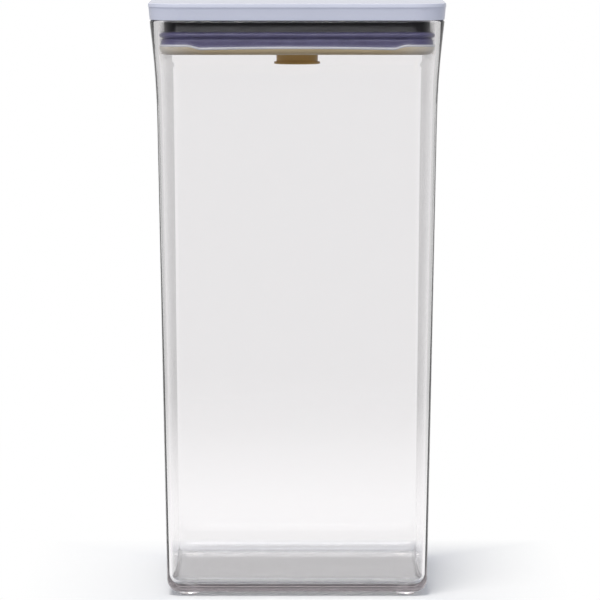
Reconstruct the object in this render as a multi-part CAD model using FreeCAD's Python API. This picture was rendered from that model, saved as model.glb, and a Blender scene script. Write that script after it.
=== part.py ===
# Tall square food storage container with a push-button lid.
# A clear jar stands on four feet. The lid is a white cover, a carrier ring, a silicone gasket and a tray.
# The round button carries four cam pins. They run in slots of four pushers that press on the gasket.
# A press on the flush button frees its latch, a spring lifts it, and the pushers draw inward.
# Millimetres, +Z up, origin on the table under the middle of the jar, front at -Y, lid closed and sealed.
import FreeCAD
import Part
import math
import os

Vec = FreeCAD.Vector
UP = Vec(0, 0, 1)
ORIGIN = Vec(0, 0, 0)
quarter_turn = 90
full_turn = 360
sides = 4
touching = 1e-7

# Jar: mouth, rim and corners
mouth_width = 149.0
mouth_corner_radius = 11.5
jar_height = 310.7
rim_wall = 4.6
rim_edge_radius = 0.9
seal_draft = 0.3
seal_band = 18.3
band_blend_radius = 120.0

# Jar: flared and tapered walls
knee_below_rim = 32.7
rim_flare = 3.6
flare_radius = 440.0
inner_flare_radius = 280.0
wall_taper = 5.3
wall = 2.4

# Jar: floor and feet
floor_thickness = 4.7
floor_edge_radius = 4.6
base_edge_radius = 6.9
foot_height = 1.5
foot_diameter = 10.4
foot_inset = 11.4
foot_edge_radius = 0.7

# Fits
seat_gap = 0.3
running_gap = 0.3
fit_gap = 0.05
overrun = 2.0

# Lid cover
cover_height = 9.0
cover_overhang = 0.9
cover_draft = 0.95
cover_wall = 2.2
cover_edge_radius = 0.4
cover_band = 2.0
cover_band_draft = 0.25
cover_step = 0.3
collar_depth = 13.0
collar_wall = 1.8
collar_edge_radius = 0.6
cover_rib = 1.6

# Button travel: up from flush, and down from flush to free the latch
pop_travel = 11.0
press_travel = 1.5
seal_stroke = 2.0

# Button cap and core
button_diameter = 52.0
button_gap = 0.4
button_recess = 0.2
button_dish = 0.7
button_dish_radius = 40.0
button_flat_share = 0.45
button_edge_radius = 1.0
cap_thickness = 2.4
cap_wall = 1.8
cap_bead = 0.3
disc_thickness = 1.8
tube_wall = 2.0
cheek_thickness = 2.0
cheek_margin = 1.5
pin_diameter = 3.0

# Pushers
slot_gap = 0.15
slot_margin = 1.4
pusher_plate = 3.0
plate_inset = 1.3
arm_height = 5.3
arm_width = 7.0
bar_end_gap = 12.0
bar_depth = 4.0
bar_edge_radius = 0.8

# Button spring
spring_wire = 1.1
spring_inset = 1.2
spring_turns = 5.5

# Latch wire and the heart-shaped track that its tip runs in
latch_wire_diameter = 1.2
latch_bend_radius = 1.6
latch_standoff = 3.4
latch_pad_reach = 4.9
track_depth = 1.6
track_width = 1.6
heart_width = 5.2
heart_shoulder = 3.4
notch_depth = 1.3
notch_gap = 0.4
latch_boss_diameter = 4.8
latch_boss_height = 2.6

# Gasket
lip_gap = 0.3
lip_reach = 2.5
lip_edge_radius = 0.5
gasket_wall = 2.2
lower_lip = 4.2
lower_lip_inset = 0.9
lip_groove = 1.2
lip_groove_depth = 1.7
upper_lip = 2.6
lip_taper = 0.5
bead_height = 1.6
bead_depth = 0.7

# Gasket carrier
flange_thickness = 1.6
flange_gap = 0.2
spigot_wall = 2.0

# Tray
tray_floor = 2.2
tray_inset = 0.2
tray_wall = 2.4
tray_edge_radius = 4.0
tray_lip_radius = 0.4
core_clearance = 0.45
seat_corner = 3.1
seat_dip = 1.5
seat_middle = 2.0
seat_ramp_inset = 4.2
seat_ramp = 7.3
seat_ramp_radius = 24.0
seat_crown_radius = 2000.0
post_inset = 6.2
post_diameter = 6.8
post_shoulder = 1.2
socket_wall = 1.9
socket_depth = 4.6
guide_rib = 1.5
guide_height = 4.2
guide_start = 32.0
guide_end_gap = 3.5

# Accessory hub and its seal ring
hub_drop = 7.4
hub_diameter = 22.7
hub_flange_diameter = 25.2
hub_flange = 1.8
hub_edge_radius = 0.3
hub_recess_diameter = 17.0
hub_recess = 0.8
barb_gap = 0.5
barb_reach = 0.6
barb_height = 1.2
spring_guide_gap = 0.6
spring_guide_height = 4.0
seal_ring_diameter = 20.0
seal_ring_wire = 1.4

# Half-widths of the jar, and the square that the corner centres stand on
mouth_half = mouth_width / 2
corner_line = mouth_half - mouth_corner_radius
rim_half = mouth_half + rim_wall
knee_half = rim_half - rim_flare
base_half = knee_half - wall_taper
band_half = mouth_half - seal_draft
foot_at = base_half - foot_inset

# Heights of the jar
base_z = foot_height
floor_z = base_z + floor_thickness
knee_z = jar_height - knee_below_rim
band_z = jar_height - seal_band

# Heights of the lid, from the top down
lid_bottom = jar_height + seat_gap
lid_top = lid_bottom + cover_height
ceiling_z = lid_top - cover_wall
cap_top = lid_top - button_recess
disc_top = cap_top - cap_thickness
disc_bottom = disc_top - disc_thickness
plate_top = disc_bottom - press_travel - running_gap
pin_radius = pin_diameter / 2
slot_radius = pin_radius + slot_gap
pin_up_z = plate_top - slot_margin - slot_radius
pin_z = pin_up_z - pop_travel
core_bottom = pin_z - pin_radius - cheek_margin
tray_top = core_bottom - press_travel - core_clearance
tray_bottom = tray_top - tray_floor
arm_bottom = tray_top + running_gap
arm_top = arm_bottom + arm_height
cap_bottom = arm_top + press_travel + running_gap
collar_bottom = lid_top - collar_depth
flange_top = lid_bottom + flange_thickness
gasket_top = lid_bottom - fit_gap
lower_lip_top = tray_top + seat_middle + lower_lip
upper_lip_bottom = lower_lip_top + lip_groove
upper_lip_top = upper_lip_bottom + upper_lip
spigot_bottom = upper_lip_top + running_gap + running_gap
hub_top = tray_top + fit_gap + barb_height

# Half-widths of the lid, from the outside in
cover_half = rim_half + cover_overhang
skirt_half = cover_half - cover_draft
lip_half = band_half - lip_gap
lower_lip_half = lip_half - lower_lip_inset
gasket_outer = lip_half - lip_reach
gasket_inner = gasket_outer - gasket_wall
tray_half = lip_half - tray_inset
spigot_outer = gasket_inner - fit_gap
spigot_inner = spigot_outer - spigot_wall
flange_outer = skirt_half - cover_wall - flange_gap

pad_face = gasket_inner - running_gap
bar_inner = pad_face - bar_depth
post_at = spigot_inner - post_inset
socket_radius = post_diameter / 2 + fit_gap

# Radii about the button's axis, from the outside in
stroke_share = seal_stroke / pop_travel
press_stroke = press_travel * stroke_share
button_radius = button_diameter / 2
collar_radius = button_radius + button_gap
cap_inner = button_radius - cap_wall
plate_outer = cap_inner - plate_inset
pin_ring = plate_outer - slot_margin - slot_radius - seal_stroke
plate_inner = pin_ring - press_stroke - slot_radius - slot_margin
tube_outer = plate_inner - seal_stroke - running_gap
tube_inner = tube_outer - tube_wall
barb_radius = tube_inner - barb_gap
neck_radius = barb_radius - barb_reach
spring_radius = neck_radius - spring_inset - spring_wire / 2
spring_guide_radius = spring_radius - spring_wire / 2 - spring_guide_gap
latch_pad_face = tube_outer + latch_pad_reach
latch_ring = latch_pad_face + latch_standoff
latch_z = pin_up_z


def unit(vector):
    """Vector of the same direction and length one."""
    return vector * (1 / vector.Length)


def outline(*corners):
    """Closed wire in the XZ plane. A corner is (x, z), or (x, z, radius) where it is rounded.

    Two roundings that would meet on one side are both made smaller, so that they share it.
    """
    points = [Vec(corner[0], 0, corner[1]) for corner in corners]
    count = len(points)
    lengths = [(points[(index + 1) % count] - points[index]).Length for index in range(count)]
    half_angles = []
    reaches = []
    for index, corner in enumerate(corners):
        back = points[index - 1] - points[index]
        onward = points[(index + 1) % count] - points[index]
        half_angles.append(back.getAngle(onward) / 2)
        reaches.append(corner[2] / math.tan(half_angles[index]) if len(corner) > 2 else 0)
    stops = []
    for index, point in enumerate(points):
        if reaches[index] == 0:
            stops.append((point, point, point))
            continue
        back = unit(points[index - 1] - point)
        onward = unit(points[(index + 1) % count] - point)
        before_share = lengths[index - 1] / (reaches[index - 1] + reaches[index])
        after_share = lengths[index] / (reaches[index] + reaches[(index + 1) % count])
        reach = reaches[index] * min(1, before_share, after_share)
        bulge = reach / math.cos(half_angles[index]) - reach * math.tan(half_angles[index])
        stops.append((point + back * reach, point + unit(back + onward) * bulge, point + onward * reach))
    edges = []
    for index, (start, middle, end) in enumerate(stops):
        following = stops[(index + 1) % len(stops)][0]
        if start != end:
            edges.append(Part.Arc(start, middle, end).toShape())
        if not end.isEqual(following, touching):
            edges.append(Part.LineSegment(end, following).toShape())
    return Part.Wire(edges)


def join(shapes):
    """One solid from shapes that touch or overlap, with split faces merged again."""
    return shapes[0].multiFuse(shapes[1:]).removeSplitter()


def turn(shape, angle):
    """Copy of a shape, turned about the button's axis."""
    copy = shape.copy()
    copy.rotate(ORIGIN, UP, angle)
    return copy


def all_round(shape, first_angle=0):
    """Four copies of a shape, a quarter turn apart about the button's axis."""
    return [turn(shape, first_angle + quarter_turn * side) for side in range(sides)]


def box(x_low, x_high, y_low, y_high, z_low, z_high):
    """Block between six planes."""
    return Part.makeBox(x_high - x_low, y_high - y_low, z_high - z_low, Vec(x_low, y_low, z_low))


def disc(radius, z_low, z_high, x=0, y=0):
    """Upright cylinder."""
    return Part.makeCylinder(radius, z_high - z_low, Vec(x, y, z_low))


def turned(*corners):
    """Solid of revolution about Z from an outline of (radius, z) corners."""
    return Part.Face(outline(*corners)).revolve(ORIGIN, UP, full_turn)


def square_ring(*corners):
    """Outline of (half-width, z) corners carried round the square plan with its rounded corners."""
    face = Part.Face(outline(*corners))
    face.translate(Vec(0, -corner_line, 0))
    straight = face.extrude(Vec(0, corner_line + corner_line, 0))
    face.translate(Vec(0, corner_line + corner_line, 0))
    bend = face.revolve(Vec(corner_line, corner_line, 0), UP, quarter_turn)
    return join(all_round(straight) + all_round(bend))


def square_pan(z_low, z_high, *corners):
    """Square ring whose outline starts and ends on the corner line, closed by a plate inside that line."""
    plate = box(-corner_line, corner_line, -corner_line, corner_line, z_low, z_high)
    return join([square_ring((corner_line, z_low), *corners, (corner_line, z_high)), plate])


def container_body():
    """Clear jar: drafted walls that flare to the rim, a straight sealing band inside it, and four feet."""
    shell = square_pan(
        base_z, floor_z,
        (base_half, base_z, base_edge_radius),
        (knee_half, knee_z, flare_radius),
        (rim_half, jar_height, rim_edge_radius),
        (mouth_half, jar_height, rim_edge_radius),
        (band_half, band_z, band_blend_radius),
        (knee_half - wall, knee_z, inner_flare_radius),
        (base_half - wall, floor_z, floor_edge_radius))
    foot = turned(
        (0, 0),
        (foot_diameter / 2, 0, foot_edge_radius),
        (foot_diameter / 2, base_z + floor_thickness / 2),
        (0, base_z + floor_thickness / 2))
    foot.translate(Vec(foot_at, foot_at, 0))
    return join([shell] + all_round(foot))


def lid_cover():
    """Cover: top plate stepped out over a drafted skirt, collar for the button, sockets and ribs."""
    step_z = lid_top - cover_band
    shell = square_pan(
        ceiling_z, lid_top,
        (skirt_half - cover_wall, ceiling_z),
        (skirt_half - cover_wall, lid_bottom),
        (skirt_half, lid_bottom, cover_edge_radius),
        (cover_half - cover_step, step_z),
        (cover_half, step_z),
        (cover_half - cover_band_draft, lid_top, cover_edge_radius))
    collar = disc(collar_radius + collar_wall, collar_bottom, lid_top - collar_edge_radius)
    socket = disc(socket_radius + socket_wall, flange_top + fit_gap, ceiling_z, post_at, post_at)
    rib = turn(box(0, math.hypot(post_at, post_at), -cover_rib / 2, cover_rib / 2,
                   flange_top + running_gap, ceiling_z), quarter_turn / 2)
    body = join([shell, collar] + all_round(rib) + all_round(socket))
    bore = turned(
        (0, collar_bottom - overrun),
        (collar_radius, collar_bottom - overrun),
        (collar_radius, lid_top - collar_edge_radius),
        (collar_radius + collar_edge_radius, lid_top),
        (collar_radius + collar_edge_radius, lid_top + overrun),
        (0, lid_top + overrun))
    hole = disc(socket_radius, flange_top - overrun, flange_top + socket_depth, post_at, post_at)
    return body.cut(bore.multiFuse(all_round(hole)))


def gasket_carrier():
    """Carrier ring: a flange over the rim, a grooved spigot that the gasket sits on, corner gussets."""
    groove_z = (spigot_bottom + lid_bottom) / 2
    ring = square_ring(
        (spigot_inner, spigot_bottom),
        (spigot_outer, spigot_bottom),
        (spigot_outer, groove_z - bead_height / 2 - fit_gap),
        (spigot_outer - bead_depth, groove_z - bead_depth / 2),
        (spigot_outer - bead_depth, groove_z + bead_depth / 2),
        (spigot_outer, groove_z + bead_height / 2 + fit_gap),
        (spigot_outer, lid_bottom),
        (flange_outer, lid_bottom),
        (flange_outer, flange_top),
        (spigot_inner, flange_top))
    gusset = disc(post_inset + spigot_wall / 2, lid_bottom, flange_top, post_at, post_at)
    hole = disc(socket_radius, lid_bottom - overrun, flange_top + overrun, post_at, post_at)
    body = join([ring] + all_round(gusset))
    for piece in all_round(hole):
        body = body.cut(piece)
    return body


def seat_block(lift):
    """Everything below the wavy seat line of the tray's wall, raised by a lift. It is high at the corners."""
    corner_z = tray_top + seat_corner + lift
    dip_z = tray_top + seat_dip + lift
    middle_z = tray_top + seat_middle + lift
    low_z = tray_bottom - overrun
    ramp_at = corner_line - seat_ramp_inset
    dip_at = ramp_at - seat_ramp
    far = tray_half + overrun + lip_reach
    wave = Part.Face(outline(
        (-corner_line, low_z),
        (corner_line, low_z),
        (corner_line, corner_z),
        (ramp_at, corner_z, seat_ramp_radius),
        (dip_at, dip_z, seat_ramp_radius),
        (0, middle_z, seat_crown_radius),
        (-dip_at, dip_z, seat_ramp_radius),
        (-ramp_at, corner_z, seat_ramp_radius),
        (-corner_line, corner_z)))
    wave.translate(Vec(0, -far, 0))
    along_y = wave.extrude(Vec(0, far + far, 0))
    corner = box(corner_line, far, corner_line, far, low_z, corner_z)
    return join([along_y, turn(along_y, quarter_turn)] + all_round(corner))


def gasket():
    """Silicone ring: two lips with a groove between them, a recessed upper wall, a bead for the carrier."""
    bead_z = (spigot_bottom + lid_bottom) / 2
    ring = square_ring(
        (gasket_inner, tray_top),
        (lower_lip_half, tray_top),
        (lower_lip_half, lower_lip_top - lip_taper, lip_edge_radius),
        (lip_half - lip_groove_depth, lower_lip_top),
        (lip_half - lip_groove_depth, upper_lip_bottom),
        (lip_half, upper_lip_bottom + lip_taper, lip_edge_radius),
        (lip_half, upper_lip_top - lip_taper, lip_edge_radius),
        (gasket_outer, upper_lip_top),
        (gasket_outer, gasket_top),
        (gasket_inner, gasket_top),
        (gasket_inner, bead_z + bead_height / 2),
        (gasket_inner - bead_depth, bead_z + bead_depth / 2 - fit_gap),
        (gasket_inner - bead_depth, bead_z - bead_depth / 2 + fit_gap),
        (gasket_inner, bead_z - bead_height / 2))
    return ring.cut(seat_block(fit_gap))


def lid_base():
    """Tray: dished floor with a wavy wall, posts that plug into the cover, pusher guides, latch boss."""
    pan = square_pan(
        tray_bottom, tray_top,
        (tray_half, tray_bottom, tray_edge_radius),
        (tray_half, tray_top + seat_corner, tray_lip_radius),
        (tray_half - tray_wall, tray_top + seat_corner, tray_lip_radius),
        (tray_half - tray_wall, tray_top))
    pan = pan.common(seat_block(0))
    root_z = tray_top - tray_floor / 2
    post = turned(
        (0, root_z),
        (post_diameter / 2 + post_shoulder, root_z),
        (post_diameter / 2 + post_shoulder, lid_bottom - fit_gap),
        (post_diameter / 2, lid_bottom - fit_gap),
        (post_diameter / 2, flange_top + socket_depth - running_gap),
        (0, flange_top + socket_depth - running_gap))
    post.translate(Vec(post_at, post_at, 0))
    rib_y = arm_width / 2 + running_gap
    guide_end = bar_inner - seal_stroke - guide_end_gap
    rib = box(guide_start, guide_end, rib_y, rib_y + guide_rib, root_z, tray_top + guide_height)
    mirror = rib.mirror(ORIGIN, Vec(0, 1, 0))
    boss_top = tray_top + latch_boss_height
    boss = disc(latch_boss_diameter / 2, root_z, boss_top, latch_ring)
    hole = disc(latch_wire_diameter / 2 + fit_gap, tray_top, boss_top + overrun, latch_ring)
    body = join([pan] + all_round(post) + all_round(rib) + all_round(mirror) + [turn(boss, quarter_turn / 2)])
    neck = disc(neck_radius + fit_gap, tray_bottom - overrun, tray_top + overrun)
    return body.cut(neck).cut(turn(hole, quarter_turn / 2))


def accessory_hub():
    """Round stub under the tray: a clip flange, a barbed neck through the tray, a guide for the spring."""
    bottom = tray_bottom - hub_drop
    groove_inner = seal_ring_diameter / 2 - seal_ring_wire / 2 - fit_gap
    groove_outer = seal_ring_diameter / 2 + seal_ring_wire / 2 + fit_gap
    groove_z = tray_bottom - seal_ring_wire
    return turned(
        (0, bottom + hub_recess),
        (hub_recess_diameter / 2, bottom + hub_recess),
        (hub_recess_diameter / 2 + hub_recess, bottom),
        (hub_flange_diameter / 2, bottom, hub_edge_radius),
        (hub_flange_diameter / 2, bottom + hub_flange, hub_edge_radius),
        (hub_diameter / 2, bottom + hub_flange),
        (hub_diameter / 2, tray_bottom),
        (groove_outer, tray_bottom),
        (groove_outer, groove_z),
        (groove_inner, groove_z),
        (groove_inner, tray_bottom),
        (neck_radius, tray_bottom),
        (neck_radius, tray_top + fit_gap),
        (barb_radius, tray_top + fit_gap),
        (neck_radius, hub_top),
        (spring_guide_radius, hub_top),
        (spring_guide_radius, hub_top + spring_guide_height, hub_edge_radius),
        (0, hub_top + spring_guide_height))


def hub_seal():
    """O-ring in the hub's groove, under the tray."""
    wire_radius = seal_ring_wire / 2
    return Part.makeTorus(seal_ring_diameter / 2, wire_radius, Vec(0, 0, tray_bottom - wire_radius))


def button_cap():
    """Round push button with a shallow dish, a guide skirt and a bead that holds the core."""
    return turned(
        (0, disc_top),
        (cap_inner, disc_top),
        (cap_inner, disc_bottom - fit_gap),
        (cap_inner - cap_bead, disc_bottom - fit_gap - cap_bead),
        (cap_inner, disc_bottom - fit_gap - cap_bead - cap_bead),
        (cap_inner, cap_bottom),
        (button_radius, cap_bottom),
        (button_radius, cap_top, button_edge_radius),
        (button_radius - button_edge_radius - button_edge_radius, cap_top),
        (button_radius * button_flat_share, cap_top - button_dish, button_dish_radius),
        (0, cap_top - button_dish))


def heart_track():
    """Pocket for the latch tip, about its rest place: a slot in the XZ plane that splits round a heart."""
    half_track = track_width / 2
    half_heart = heart_width / 2
    tip_radius = latch_wire_diameter / 2
    slot_low = -pop_travel - half_track
    heart_low = -pop_travel + track_width
    notch_low = -tip_radius - notch_gap
    notch_high = notch_low + notch_depth
    roof = press_travel + half_track + notch_depth
    pocket = outline(
        (half_track, slot_low),
        (half_track, heart_low - half_track),
        (half_heart + track_width, -heart_shoulder),
        (half_heart + track_width, roof),
        (-half_heart - track_width, roof),
        (-half_heart - track_width, -heart_shoulder),
        (-half_track, heart_low - half_track),
        (-half_track, slot_low))
    heart = outline(
        (0, heart_low),
        (half_heart, -heart_shoulder),
        (half_heart, notch_low),
        (half_heart / 2, notch_high),
        (0, notch_low),
        (-half_heart / 2, notch_high),
        (-half_heart, notch_low),
        (-half_heart, -heart_shoulder))
    deep = Vec(0, track_depth + overrun, 0)
    return Part.Face(pocket).extrude(deep).cut(Part.Face(heart).extrude(deep))


def button_core():
    """Core under the cap: disc, tube round the spring, four pairs of pin cheeks, and the latch track."""
    plate = disc(cap_inner - fit_gap, disc_bottom, disc_top)
    sleeve = disc(tube_outer, core_bottom, disc_top)
    cheek_in = pusher_plate / 2 + running_gap
    cheek_out = cheek_in + cheek_thickness
    cheek_end = pin_ring + pin_radius + cheek_margin
    cheek = box(0, cheek_end, cheek_in, cheek_out, core_bottom, disc_top)
    cheeks = all_round(cheek) + all_round(cheek.mirror(ORIGIN, Vec(0, 1, 0)))
    pad_half = heart_width / 2 + track_width + tube_wall / 2
    pad = box(0, latch_pad_face, -pad_half, pad_half, core_bottom, disc_top)
    body = join([plate, sleeve, turn(pad, quarter_turn / 2)] + cheeks)
    reach = cheek_out + overrun
    hole = Part.makeCylinder(pin_radius, reach + reach, Vec(pin_ring, -reach, pin_z), Vec(0, 1, 0))
    track = heart_track()
    track.rotate(ORIGIN, UP, quarter_turn)
    track.translate(Vec(latch_pad_face + overrun, 0, latch_z))
    bore = disc(tube_inner, core_bottom - overrun, disc_bottom)
    for tool in all_round(hole) + [turn(track, quarter_turn / 2), bore]:
        body = body.cut(tool)
    return body


def cam_pins():
    """Four steel pins across the pairs of cheeks."""
    half_length = pusher_plate / 2 + running_gap + cheek_thickness
    start = Vec(pin_ring, -half_length, pin_z)
    pin = Part.makeCylinder(pin_radius, half_length + half_length, start, Vec(0, 1, 0))
    return Part.makeCompound(all_round(pin))


def arc_between(start, direction, end):
    """Arc from a start point and direction to an end point."""
    chord = end - start
    half_angle = direction.getAngle(chord)
    aside = unit(direction - unit(chord) * direction.dot(unit(chord)))
    middle = start + chord * (1 / 2) + aside * (chord.Length / 2 * math.tan(half_angle / 2))
    return Part.Arc(start, middle, end).toShape()


def two_arcs(start, start_way, end, end_way):
    """Pair of arcs that joins two points smoothly in the given directions."""
    span = end - start
    ways = start_way + end_way
    spread = 2 * (1 - start_way.dot(end_way))
    along = span.dot(ways)
    reach = (math.sqrt(along * along + spread * span.dot(span)) - along) / spread
    first_knot = start + start_way * reach
    second_knot = end - end_way * reach
    middle = (first_knot + second_knot) * (1 / 2)
    return [arc_between(start, start_way, middle), arc_between(middle, unit(second_knot - first_knot), end)]


def button_spring():
    """Coil spring between the hub and the core, one tube swept along pairs of arcs of a quarter turn."""
    low = hub_top + spring_wire / 2 + fit_gap
    rise = disc_bottom - spring_wire / 2 - fit_gap - low
    steps = round(spring_turns * sides)
    whole = 2 * math.pi * spring_turns

    def place(share):
        angle = whole * share
        return Vec(spring_radius * math.cos(angle), spring_radius * math.sin(angle), low + rise * share)

    def way(share):
        angle = whole * share
        sweep = spring_radius * whole
        return unit(Vec(-sweep * math.sin(angle), sweep * math.cos(angle), rise))

    edges = []
    for step in range(steps):
        start = step / steps
        end = (step + 1) / steps
        edges += two_arcs(place(start), way(start), place(end), way(end))
    section = Part.Wire(Part.makeCircle(spring_wire / 2, place(0), way(0)))
    print("button spring, least gap between turns:", round(rise / spring_turns - spring_wire, 2))
    return Part.Wire(edges).makePipeShell([section], True, False)


def latch_wire():
    """Spring wire: a leg standing in the tray's boss, bent over so that its tip reaches into the track."""
    foot = Vec(latch_ring, 0, tray_top)
    bend_start = Vec(latch_ring, 0, latch_z - latch_bend_radius)
    bend_end = Vec(latch_ring - latch_bend_radius, 0, latch_z)
    tip = Vec(latch_pad_face - track_depth + running_gap, 0, latch_z)
    path = Part.Wire([
        Part.LineSegment(foot, bend_start).toShape(),
        arc_between(bend_start, UP, bend_end),
        Part.LineSegment(bend_end, tip).toShape()])
    section = Part.Wire(Part.makeCircle(latch_wire_diameter / 2, foot, UP))
    return turn(path.makePipeShell([section], True, False), quarter_turn / 2)


def pusher(angle):
    """Pusher: a plate with a slanted slot for the cam pin, an arm under the button, a bar at the gasket."""
    slot_low = Vec(pin_ring - press_stroke, 0, pin_z - press_travel)
    slot_high = Vec(pin_ring + seal_stroke, 0, pin_up_z)
    half_plate = pusher_plate / 2
    arm_start = plate_outer + seal_stroke
    plate = box(plate_inner, plate_outer, -half_plate, half_plate, arm_bottom, plate_top)
    web = box(plate_inner, arm_start + overrun, -half_plate, half_plate, arm_bottom, arm_top)
    arm = box(arm_start, bar_inner + bar_depth / 2, -arm_width / 2, arm_width / 2, arm_bottom, arm_top)
    bar_half = post_at - bar_end_gap
    bar_face = Part.Face(outline(
        (bar_inner, arm_bottom, bar_edge_radius),
        (pad_face, arm_bottom, bar_edge_radius),
        (pad_face, upper_lip_top, bar_edge_radius),
        (bar_inner, upper_lip_top, bar_edge_radius)))
    bar_face.translate(Vec(0, -bar_half, 0))
    bar = bar_face.extrude(Vec(0, bar_half + bar_half, 0))
    body = join([plate, web, arm, bar])
    across = Vec(0, pusher_plate + overrun, 0)
    back = Vec(0, half_plate + overrun / 2, 0)
    along = unit(slot_high - slot_low)
    aside = Vec(-along.z, 0, along.x) * slot_radius
    walls = [slot_low + aside, slot_low - aside, slot_high - aside, slot_high + aside]
    slot = Part.Face(Part.makePolygon([point - back for point in walls + walls[:1]])).extrude(across)
    for point in (slot_low, slot_high):
        slot = slot.fuse(Part.makeCylinder(slot_radius, across.Length, point - back, across))
    return turn(body.cut(slot), angle)


nodes = {
    "container_body": container_body(),
    "lid_cover": lid_cover(),
    "gasket_carrier": gasket_carrier(),
    "gasket": gasket(),
    "lid_base": lid_base(),
    "accessory_hub": accessory_hub(),
    "hub_seal": hub_seal(),
    "button_cap": button_cap(),
    "button_core": button_core(),
    "cam_pins": cam_pins(),
    "button_spring": button_spring(),
    "latch_wire": latch_wire(),
    "pusher_right": pusher(0),
    "pusher_rear": pusher(quarter_turn),
    "pusher_left": pusher(quarter_turn * 2),
    "pusher_front": pusher(quarter_turn * 3),
}

os.makedirs("parts", exist_ok=True)
for name, shape in nodes.items():
    shape.exportStep("parts/" + name + ".step")
    print(name, len(shape.Solids), shape.isValid(), round(shape.Volume))
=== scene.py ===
import math
import bmesh
import bpy
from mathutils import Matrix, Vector


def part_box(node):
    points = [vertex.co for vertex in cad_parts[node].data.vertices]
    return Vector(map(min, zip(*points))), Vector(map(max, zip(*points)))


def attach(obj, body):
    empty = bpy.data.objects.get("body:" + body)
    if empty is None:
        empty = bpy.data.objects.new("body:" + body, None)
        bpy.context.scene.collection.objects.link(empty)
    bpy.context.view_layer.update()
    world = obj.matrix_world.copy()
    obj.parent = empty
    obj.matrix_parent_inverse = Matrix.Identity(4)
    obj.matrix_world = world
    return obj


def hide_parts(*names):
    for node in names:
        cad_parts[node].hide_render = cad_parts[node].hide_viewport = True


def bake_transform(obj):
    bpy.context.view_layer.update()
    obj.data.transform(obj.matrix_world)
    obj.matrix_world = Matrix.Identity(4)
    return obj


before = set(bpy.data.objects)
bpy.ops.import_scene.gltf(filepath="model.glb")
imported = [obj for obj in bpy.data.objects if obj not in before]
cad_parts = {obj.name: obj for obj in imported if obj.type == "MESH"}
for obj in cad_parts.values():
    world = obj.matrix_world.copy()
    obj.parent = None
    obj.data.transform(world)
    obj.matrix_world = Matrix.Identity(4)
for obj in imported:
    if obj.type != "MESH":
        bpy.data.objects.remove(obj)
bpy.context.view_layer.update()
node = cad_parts
mm = 0.001


# The jar: a tall square canister with rounded corners that flares to a thick
# rim. It is one injection moulding of clear, faintly pink-grey plastic, polished
# on both faces, and it stands on four small feet moulded under its corners.

def new_material(name):
    """An empty material, its node tree and its output."""
    material = bpy.data.materials.new(name)
    material.use_nodes = True
    tree = material.node_tree
    tree.nodes.clear()
    return material, tree, tree.nodes.new("ShaderNodeOutputMaterial")


def put(tree, kind, sockets=None, **settings):
    """Adds a shader node. A socket given another node's output is linked, any other value is set on it."""
    made = tree.nodes.new("ShaderNode" + kind)
    for name, value in settings.items():
        setattr(made, name, value)
    for name, value in (sockets or {}).items():
        if isinstance(value, bpy.types.NodeSocket):
            tree.links.new(value, made.inputs[name])
        else:
            made.inputs[name].default_value = value
    return made


def speckle(tree, size, detail=2.0, stretch=(1, 1, 1)):
    """Noise with blotches of a size in metres, drawn out along the axes by a stretch."""
    where = put(tree, "TexCoord").outputs["Object"]
    scaled = put(tree, "Mapping", {"Vector": where, "Scale": [1 / s for s in stretch]}).outputs["Vector"]
    return put(tree, "TexNoise", {"Vector": scaled, "Scale": 1 / size, "Detail": detail}).outputs["Fac"]


def between(tree, share, low, high, start=0.3, stop=0.7):
    """A number that runs from low to high as a share goes from start to stop."""
    sockets = {"Value": share, "From Min": start, "From Max": stop, "To Min": low, "To Max": high}
    return put(tree, "MapRange", sockets).outputs["Result"]


clear_tint = (0.980, 0.974, 0.978, 1)
clear_bend = 1.52
depth_tint = (0.56, 0.47, 0.51, 1)
depth_density = 8.0
flow_length = 45 * mm
flow_stretch = (1, 1, 3)
flow_strength = 0.06
flow_depth = 0.15 * mm
rub_size = 18 * mm
rub_detail = 6.0
rub_from = 0.4
rub_to = 0.8
polished = 0.004
rubbed = 0.03


def clear_moulding():
    """Clear plastic: it bends light, dims it along its depth, and has faint flow waves and rub marks."""
    material, tree, output = new_material("clear_moulding")
    waves = put(tree, "Bump", {
        "Height": speckle(tree, flow_length, stretch=flow_stretch), "Strength": flow_strength,
        "Distance": flow_depth})
    gloss = between(tree, speckle(tree, rub_size, rub_detail), polished, rubbed, rub_from, rub_to)
    glass = put(tree, "BsdfPrincipled", {
        "Base Color": clear_tint, "Transmission Weight": 1.0, "IOR": clear_bend,
        "Roughness": gloss, "Normal": waves.outputs["Normal"]})
    depth = put(tree, "VolumeAbsorption", {"Color": depth_tint, "Density": depth_density})
    tree.links.new(glass.outputs["BSDF"], output.inputs["Surface"])
    tree.links.new(depth.outputs["Volume"], output.inputs["Volume"])
    return material


def finish(piece, material):
    """Gives a piece one material all over."""
    piece.data.materials.clear()
    piece.data.materials.append(material)


finish(node["container_body"], clear_moulding())


# The tray under the lid: a shallow moulded pan that closes the mechanism off
# from the jar, its warm tan painted warm bounce light and shade and its paler corners
# painted light. Its posts plug into the cover, and its wavy wall ends in a rounded white rim that the gasket
# sits on.

cloud_size = 30 * mm
cloud_detail = 4.0
gloss_size = 6 * mm
gloss_detail = 5.0
grain_detail = 3.0
grain_strength = 0.25
grain_depth_share = 0.05
plastic_bend = 1.5
corner_light_from = 48 * mm
corner_light_to = 72 * mm


def plan_reach(tree, operation):
    """The MINIMUM or the MAXIMUM of the distances from the middle along X and along Y."""
    plan = put(tree, "SeparateXYZ", {"Vector": put(tree, "TexCoord").outputs["Object"]})
    across = put(tree, "Math", {0: plan.outputs["X"]}, operation="ABSOLUTE").outputs[0]
    along = put(tree, "Math", {0: plan.outputs["Y"]}, operation="ABSOLUTE").outputs[0]
    return put(tree, "Math", {0: across, 1: along}, operation=operation).outputs[0]


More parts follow.
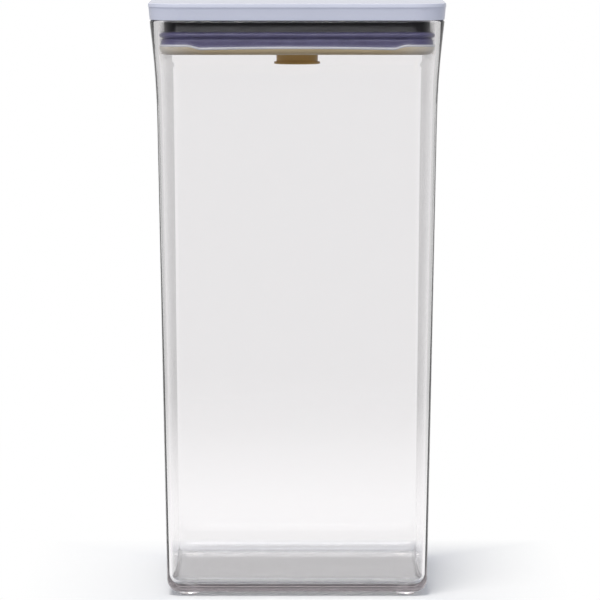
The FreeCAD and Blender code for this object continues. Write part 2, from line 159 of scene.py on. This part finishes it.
def moulded(name, colour, shade, gloss, grain, corner=None):
    """Opaque moulded plastic: a colour with faint clouds, an eroded mould grain and an uneven gloss.

    A corner colour, where one is given, takes over towards the corners of the square plan; it is painted
    light at the corners.
    """
    material, tree, output = new_material(name)
    clouds = speckle(tree, cloud_size, cloud_detail)
    tone = put(tree, "MixRGB", {
        "Fac": between(tree, clouds, 0, 1), "Color1": (*colour, 1), "Color2": (*shade, 1)})
    # The corner colour is painted light: the corners are made paler where they catch more light.
    if corner:
        tone = put(tree, "MixRGB", {
            "Fac": between(tree, plan_reach(tree, "MINIMUM"), 0, 1, corner_light_from, corner_light_to),
            "Color1": tone.outputs["Color"], "Color2": (*corner, 1)})
    rough = between(tree, speckle(tree, gloss_size, gloss_detail), *gloss)
    skin = put(tree, "Bump", {
        "Height": speckle(tree, grain, grain_detail), "Strength": grain_strength,
        "Distance": grain * grain_depth_share})
    plastic = put(tree, "BsdfPrincipled", {
        "Base Color": tone.outputs["Color"], "Roughness": rough, "IOR": plastic_bend,
        "Normal": skin.outputs["Normal"]})
    tree.links.new(plastic.outputs["BSDF"], output.inputs["Surface"])
    return material


# The tray's warm tan is painted warm bounce light and shade, and its paler corner colour is painted light.
finish(node["lid_base"], moulded(
    "painted_bounce_tan_plastic", colour=(0.86, 0.68, 0.40), shade=(0.83, 0.65, 0.37), corner=(0.96, 0.88, 0.74),
    gloss=(0.30, 0.42), grain=0.5 * mm))

corner_line = 63.0 * mm
tray_low, tray_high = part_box("lid_base")
tray_half = tray_high.x
tray_floor = 2.2 * mm
tray_floor_top = tray_low.z + tray_floor
seat_corner = 3.1 * mm
seat_dip = 1.5 * mm
seat_middle = 2.0 * mm
ramp_at = 58.8 * mm
dip_at = 51.5 * mm
side_steps = 60
corner_steps = 10


def seat_line(along):
    """Height of the tray's wavy wall at a place along one side: high at the corners, dipping beside them."""
    along = abs(along)
    if along >= ramp_at:
        return tray_floor_top + seat_corner
    if along >= dip_at:
        share = (ramp_at - along) / (ramp_at - dip_at)
        eased = share * share * (3 - 2 * share)
        return tray_floor_top + seat_corner + (seat_dip - seat_corner) * eased
    share = along / dip_at
    return tray_floor_top + seat_middle + (seat_dip - seat_middle) * share * share


def made_piece(name, mesh):
    """A smooth-shaded object from mesh code, in the scene."""
    bmesh.ops.recalc_face_normals(mesh, faces=mesh.faces)
    data = bpy.data.meshes.new(name)
    mesh.to_mesh(data)
    mesh.free()
    data.polygons.foreach_set("use_smooth", [True] * len(data.polygons))
    piece = bpy.data.objects.new(name, data)
    bpy.context.scene.collection.objects.link(piece)
    return piece


def skin_rings(mesh, rings, closed):
    """Joins rings of vertices one after another with faces, and the last to the first if closed."""
    count = len(rings[0])
    for index in range(len(rings) if closed else len(rings) - 1):
        ring = rings[index]
        following = rings[(index + 1) % len(rings)]
        for corner in range(count):
            nearby = (corner + 1) % count
            mesh.faces.new((ring[corner], following[corner], following[nearby], ring[nearby]))


def square_band(name, profile):
    """A closed profile carried round the square plan with its rounded corners.

    A profile point is (half-width, height), or (half-width, height above the seat line, True).
    """
    places = []
    for quarter in range(4):
        turn = quarter * math.pi / 2
        for step in range(side_steps):
            along = corner_line * (2 * step / side_steps - 1)
            places.append((turn, 0.0, along))
        for step in range(corner_steps):
            places.append((turn, math.pi / 2 * step / corner_steps, corner_line))
    mesh = bmesh.new()
    rings = []
    for turn, bend, along in places:
        ring = []
        for half, height, *seated in profile:
            reach = half - corner_line
            x = corner_line + reach * math.cos(bend)
            y = along + reach * math.sin(bend)
            z = height + seat_line(along) if seated else height
            ring.append(mesh.verts.new((
                x * math.cos(turn) - y * math.sin(turn), x * math.sin(turn) + y * math.cos(turn), z)))
        rings.append(ring)
    skin_rings(mesh, rings, closed=True)
    return made_piece(name, mesh)


rim_radius = 0.75 * mm
rim_proud = 0.2 * mm
rim_drop = 0.4 * mm
rim_points = 16
rim_profile = []
for point in range(rim_points):
    angle = 2 * math.pi * point / rim_points
    rim_profile.append((
        tray_half + rim_proud - rim_radius + rim_radius * math.cos(angle),
        rim_radius * math.sin(angle) - rim_drop, True))
tray_rim = square_band("tray_rim", rim_profile)
finish(tray_rim, moulded(
    "rim_white", colour=(0.95, 0.94, 0.95), shade=(0.93, 0.92, 0.93), gloss=(0.12, 0.18), grain=0.4 * mm))
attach(tray_rim, "lid")


# The hub under the tray: a moulded stub with a flange that takes clip-on
# accessories, its tan painted warm bounce light and shade. Its barbed neck snaps through the tray,
# sealed by a small slate silicone ring in a groove.

# The hub's tan is painted warm bounce light and shade.
finish(node["accessory_hub"], moulded(
    "painted_bounce_tan", colour=(0.88, 0.56, 0.17), shade=(0.83, 0.52, 0.15), gloss=(0.30, 0.42), grain=0.5 * mm))

bloom_size = 9 * mm
bloom_detail = 5.0
satin_size = 4 * mm
satin_detail = 5.0
satin_gloss = (0.28, 0.33)
tooth_size = 0.3 * mm
tooth_strength = 0.15
tooth_depth = 0.02 * mm
painted_shade_fade = 0.6 * mm
silicone_bend = 1.42


def silicone(name, colour, bloom, painted_shade, painted_shade_from):
    """Moulded silicone, satin, with a faint pale bloom of handling. Above a height it is painted darker:
    painted shade in its recess under the lid.
    """
    material, tree, output = new_material(name)
    handled = between(tree, speckle(tree, bloom_size, bloom_detail), 0, 1)
    tone = put(tree, "MixRGB", {"Fac": handled, "Color1": (*colour, 1), "Color2": (*bloom, 1)})
    where = put(tree, "TexCoord").outputs["Object"]
    height = put(tree, "SeparateXYZ", {"Vector": where}).outputs["Z"]
    # Above the given height the colour turns to painted shade.
    painted_shade_share = between(tree, height, 0, 1, painted_shade_from, painted_shade_from + painted_shade_fade)
    shown = put(tree, "MixRGB", {"Fac": painted_shade_share, "Color1": tone.outputs["Color"], "Color2": (*painted_shade, 1)})
    rough = between(tree, speckle(tree, satin_size, satin_detail), *satin_gloss)
    tooth = put(tree, "Bump", {
        "Height": speckle(tree, tooth_size), "Strength": tooth_strength, "Distance": tooth_depth})
    rubber = put(tree, "BsdfPrincipled", {
        "Base Color": shown.outputs["Color"], "Roughness": rough, "IOR": silicone_bend,
        "Normal": tooth.outputs["Normal"]})
    tree.links.new(rubber.outputs["BSDF"], output.inputs["Surface"])
    return material


upper_lip_top = 304.8 * mm
painted_shade_overlap = 0.2 * mm
# The near-black colour above the upper lip is painted shade in the recess under the lid's overhang.
slate_silicone = silicone(
    "slate_silicone", colour=(0.150, 0.136, 0.250), bloom=(0.185, 0.170, 0.305),
    painted_shade=(0.026, 0.024, 0.029), painted_shade_from=upper_lip_top - painted_shade_overlap)
wire_points = 10


def wound_wire(name, wire_radius, coil_radius, heights, turns, closed):
    """Round wire wound about the lid's axis, with its height given at even steps of its turns."""
    mesh = bmesh.new()
    rings = []
    last = len(heights) if closed else len(heights) - 1
    for index, height in enumerate(heights):
        angle = 2 * math.pi * turns * index / last
        out = Vector((math.cos(angle), math.sin(angle), 0))
        ring = []
        for point in range(wire_points):
            round_angle = 2 * math.pi * point / wire_points
            reach = coil_radius + wire_radius * math.cos(round_angle)
            lift = wire_radius * math.sin(round_angle)
            ring.append(mesh.verts.new((out.x * reach, out.y * reach, height + lift)))
        rings.append(ring)
    skin_rings(mesh, rings, closed)
    if not closed:
        mesh.faces.new(rings[0])
        mesh.faces.new(rings[-1])
    return made_piece(name, mesh)


seal_low, seal_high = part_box("hub_seal")
seal_wire = (seal_high.z - seal_low.z) / 2
seal_steps = 72
hub_ring = wound_wire(
    "hub_ring", seal_wire, seal_high.x - seal_wire, [seal_low.z + seal_wire] * seal_steps, 1, closed=True)
finish(hub_ring, slate_silicone)
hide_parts("hub_seal")
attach(hub_ring, "lid")


# The spring and the latch wire: bright drawn steel. The spring is coiled with
# closed ends between the hub and the button's core, and the latch wire stands
# in a boss of the tray.

draw_mark = 0.2 * mm
draw_detail = 3.0
draw_strength = 0.2
draw_depth = 0.01 * mm
steel_bright = (0.64, 0.64, 0.66, 1)
steel_dull = (0.54, 0.54, 0.55, 1)
steel_gloss = (0.22, 0.38)


def drawn_steel():
    """Bright drawn wire: fine draw marks in its gloss and in its skin."""
    material, tree, output = new_material("drawn_steel")
    marks = speckle(tree, draw_mark, draw_detail)
    scored = put(tree, "Bump", {"Height": marks, "Strength": draw_strength, "Distance": draw_depth})
    tone = put(tree, "MixRGB", {
        "Fac": between(tree, marks, 0, 1), "Color1": steel_bright, "Color2": steel_dull})
    steel = put(tree, "BsdfPrincipled", {
        "Base Color": tone.outputs["Color"], "Metallic": 1.0, "Roughness": between(tree, marks, *steel_gloss),
        "Normal": scored.outputs["Normal"]})
    tree.links.new(steel.outputs["BSDF"], output.inputs["Surface"])
    return material


steel = drawn_steel()
finish(node["latch_wire"], steel)

spring_low, spring_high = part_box("button_spring")
spring_wire = 0.55 * mm
spring_turns = 5.5
closed_turns = 0.75
closed_pitch = 2.1 * spring_wire
steps_a_turn = 32
spring_steps = int(spring_turns * steps_a_turn)
spring_start = spring_low.z + spring_wire
spring_rise = spring_high.z - spring_wire - spring_start
closed_rise = closed_turns * closed_pitch


def spring_height(turn):
    """Height of the wire after some turns: closely wound at each end, and open between."""
    if turn < closed_turns:
        return spring_start + closed_rise * turn / closed_turns
    if turn > spring_turns - closed_turns:
        return spring_start + spring_rise - closed_rise * (spring_turns - turn) / closed_turns
    share = (turn - closed_turns) / (spring_turns - 2 * closed_turns)
    return spring_start + closed_rise + (spring_rise - 2 * closed_rise) * share


spring_heights = [spring_height(step / steps_a_turn) for step in range(spring_steps + 1)]
spring_coil = wound_wire(
    "spring_coil", spring_wire, spring_high.x - spring_wire, spring_heights, spring_turns, closed=False)
finish(spring_coil, steel)
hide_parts("button_spring")
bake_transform(spring_coil)


# The four pushers and the button's core: plain white mouldings inside the lid.
# The core's steel cam pins run in the pushers' slanted slots.

inner_white = moulded(
    "inner_white", colour=(0.74, 0.73, 0.72), shade=(0.70, 0.69, 0.68), gloss=(0.32, 0.45), grain=0.5 * mm)
for name in ("pusher_front", "pusher_rear", "pusher_left", "pusher_right", "button_core"):
    finish(node[name], inner_white)
finish(node["cam_pins"], steel)


# The gasket: a square ring of slate-blue silicone with two lips that press on
# the jar's mouth. It is moulded in one piece and stretched over a white carrier
# ring.

gasket_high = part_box("gasket")[1]
lower_inset = 0.9 * mm
groove_inset = 1.9 * mm
wall_inset = 2.5 * mm
gasket_wall = 2.2 * mm
lip_half = gasket_high.x
lower_half = lip_half - lower_inset
groove_half = lip_half - groove_inset
wall_half = lip_half - wall_inset
inner_half = wall_half - gasket_wall
lower_lip_top = 301.1 * mm
upper_lip_bottom = 301.7 * mm
shoulder = 1.1 * mm
flare = 0.35 * mm
flare_height = 1.8 * mm
seat_gap = 0.05 * mm
curve_points = 8
edge_round = 0.3 * mm
edge_steps = 3
edge_from = math.radians(40)
flare_outline = []
shoulder_outline = []
lip_outline = []
for point in range(curve_points + 1):
    share = point / curve_points
    flare_outline.append((lower_half + flare * (1 - share) ** 2, seat_gap + flare_height * share, True))
    rise = math.pi / 2 * share
    shoulder_outline.append((
        groove_half + (lower_half - groove_half) * math.cos(rise),
        lower_lip_top - shoulder + shoulder * math.sin(rise)))
    swing = math.pi * (share - 0.5)
    lip_outline.append((
        groove_half + (lip_half - groove_half) * math.cos(swing),
        (upper_lip_bottom + upper_lip_top + (upper_lip_top - upper_lip_bottom) * math.sin(swing)) / 2))
gasket_ring = square_band("gasket_ring", [
    (inner_half, seat_gap, True), *flare_outline, *shoulder_outline, *lip_outline,
    (wall_half, upper_lip_top),
    (wall_half, gasket_high.z),
    (inner_half, gasket_high.z)])
soften = gasket_ring.modifiers.new("soft_edges", "BEVEL")
soften.width = edge_round
soften.segments = edge_steps
soften.limit_method = "ANGLE"
soften.angle_limit = edge_from
finish(gasket_ring, slate_silicone)
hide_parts("gasket")
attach(gasket_ring, "lid")
finish(node["gasket_carrier"], inner_white)


# The lid's cover and its round button: white satin plastic, moulded with softened
# edges, with a faint cool cast that is painted bluish shade. The cover's top plate
# oversails its skirt by a fine step.

# The cool cast of this white is painted bluish shade laid on white plastic.
white = moulded(
    "white_painted_cool_shade", colour=(0.775, 0.783, 0.87), shade=(0.755, 0.763, 0.85),
    gloss=(0.21, 0.265), grain=0.35 * mm)
finish(node["lid_cover"], white)
finish(node["button_cap"], white)


# The floor: a wide round sheet of matt white paper that keeps the object's soft
# shadow, turns into plain white further out and fades into the room.

floor_reach = 0.9
floor_points = 96
floor_drop = 0.2 * mm
white_from = 71 * mm
white_to = 150 * mm
whiten_power = 0.5
fade_from = 300 * mm
tone_seen = (1.0, 0.995, 0.98, 1)
tone_handed_on = (0.52, 0.52, 0.53, 1)
plain_white = (1, 1, 1, 1)
half_a_bounce = 0.5
sheet = bmesh.new()
bmesh.ops.create_circle(sheet, cap_ends=True, radius=floor_reach, segments=floor_points)
floor = made_piece("floor", sheet)
floor.location.z = -floor_drop


def seen_plainly(tree):
    """One for rays from the eye, off gloss or through glass, nought once a matt surface has spread them."""
    spread = put(tree, "LightPath").outputs["Diffuse Depth"]
    return put(tree, "Math", {0: spread, 1: half_a_bounce}, operation="LESS_THAN").outputs[0]


def pale_sheet():
    """Matt white paper that shows white to the eye and hands less light on to the object."""
    material, tree, output = new_material("pale_sheet")
    tone = put(tree, "MixRGB", {
        "Fac": seen_plainly(tree), "Color1": tone_handed_on, "Color2": tone_seen})
    paper = put(tree, "BsdfDiffuse", {"Color": tone.outputs["Color"]})
    glow = put(tree, "Emission", {"Color": plain_white, "Strength": 1.0})
    paling = between(tree, plan_reach(tree, "MAXIMUM"), 0, 1, white_from, white_to)
    whitened = put(tree, "Math", {0: paling, 1: whiten_power}, operation="POWER").outputs[0]
    glow_share = put(tree, "Math", {0: seen_plainly(tree), 1: whitened}, operation="MULTIPLY").outputs[0]
    lit = put(tree, "MixShader", {0: glow_share, 1: paper.outputs["BSDF"], 2: glow.outputs["Emission"]})
    where = put(tree, "TexCoord").outputs["Object"]
    away = put(tree, "VectorMath", {0: where}, operation="LENGTH").outputs["Value"]
    gone = between(tree, away, 0, 1, fade_from, floor_reach)
    open_air = put(tree, "BsdfTransparent")
    faded = put(tree, "MixShader", {0: gone, 1: lit.outputs["Shader"], 2: open_air.outputs["BSDF"]})
    tree.links.new(faded.outputs["Shader"], output.inputs["Surface"])
    material.cycles.emission_sampling = "NONE"
    return material


finish(floor, pale_sheet())


# Studio light: a wide soft key lamp high in front and on the left, a lower fill
# whose light passes the jar's clear wall, and an even pale room. The room shows
# white behind the object and is dimmer in reflections, most of all at the front.

room_tint = (0.89, 0.96, 1.17, 1)
room_strength = 0.34
room_dim = 0.04
room_behind = 0.68
room_overhead = 1.0
front_to_side = (-0.8, -0.1)
low_to_high = (0.1, 0.7)
most_bounces = 32
gloss_bounces = 20
room = bpy.data.worlds.new("room")
bpy.context.scene.world = room
room.use_nodes = True
walls = room.node_tree
walls.nodes.clear()
ambient = put(walls, "Background", {"Color": room_tint, "Strength": room_strength})
backdrop = put(walls, "Background", {"Color": plain_white, "Strength": 1.0})
toward = put(walls, "TexCoord").outputs["Generated"]
facing = put(walls, "SeparateXYZ", {"Vector": toward})
behind = between(walls, facing.outputs["Y"], room_dim, room_behind, *front_to_side)
overhead = between(walls, facing.outputs["Z"], room_dim, room_overhead, *low_to_high)
brightness = put(walls, "Math", {0: behind, 1: overhead}, operation="MAXIMUM").outputs[0]
mirrored = put(walls, "Background", {"Color": plain_white, "Strength": brightness})
turned_back = put(walls, "LightPath").outputs["Glossy Depth"]
glanced = put(walls, "Math", {0: turned_back, 1: half_a_bounce}, operation="GREATER_THAN").outputs[0]
plain = put(walls, "MixShader", {0: glanced, 1: backdrop.outputs[0], 2: mirrored.outputs[0]})
shown = put(walls, "MixShader", {0: seen_plainly(walls), 1: ambient.outputs[0], 2: plain.outputs[0]})
put(walls, "OutputWorld", {"Surface": shown.outputs[0]})


def soft_lamp(name, energy, colour, softness, height, side):
    """A far, wide lamp at a height above the floor and to the left of the camera, in degrees."""
    data = bpy.data.lights.new(name, "SUN")
    data.energy = energy
    data.color = colour
    data.angle = math.radians(softness)
    lamp = bpy.data.objects.new(name, data)
    height = math.radians(height)
    side = math.radians(side)
    stands = Vector((
        -math.sin(side) * math.cos(height), -math.cos(side) * math.cos(height), math.sin(height)))
    lamp.rotation_euler = stands.to_track_quat("Z", "Y").to_euler()
    bpy.context.scene.collection.objects.link(lamp)
    return lamp


soft_lamp("key", energy=1.47, colour=(1.0, 0.985, 0.955), softness=25, height=66, side=25)
fill = soft_lamp("fill", energy=0.75, colour=(0.96, 0.98, 1.0), softness=35, height=30, side=12)
lets_through = bpy.data.collections.new("lets_through")
lets_through.objects.link(node["container_body"])
fill.light_linking.blocker_collection = lets_through
lets_through.collection_objects[0].light_linking.link_state = "EXCLUDE"
bpy.context.scene.cycles.max_bounces = most_bounces
bpy.context.scene.cycles.glossy_bounces = gloss_bounces
bpy.context.scene.cycles.transmission_bounces = most_bounces


# The camera: far back and a little above the lid, tilted down, with a long lens
# that keeps the jar's sides nearly upright.

camera_lens = 292.7
camera_sensor = 36.0
camera_shift = 0.0048
camera_back = 2.680
camera_height = 0.402
camera_tilt = 5.281
sight_end = 50.0
camera_data = bpy.data.cameras.new("camera")
camera_data.lens = camera_lens
camera_data.sensor_width = camera_sensor
camera_data.shift_x = camera_shift
camera_data.clip_end = sight_end
camera = bpy.data.objects.new("camera", camera_data)
camera.location = (0, -camera_back, camera_height)
camera.rotation_euler = (math.radians(90 - camera_tilt), 0, 0)
bpy.context.scene.collection.objects.link(camera)
bpy.context.scene.camera = camera
bpy.context.scene.view_settings.view_transform = "Standard"
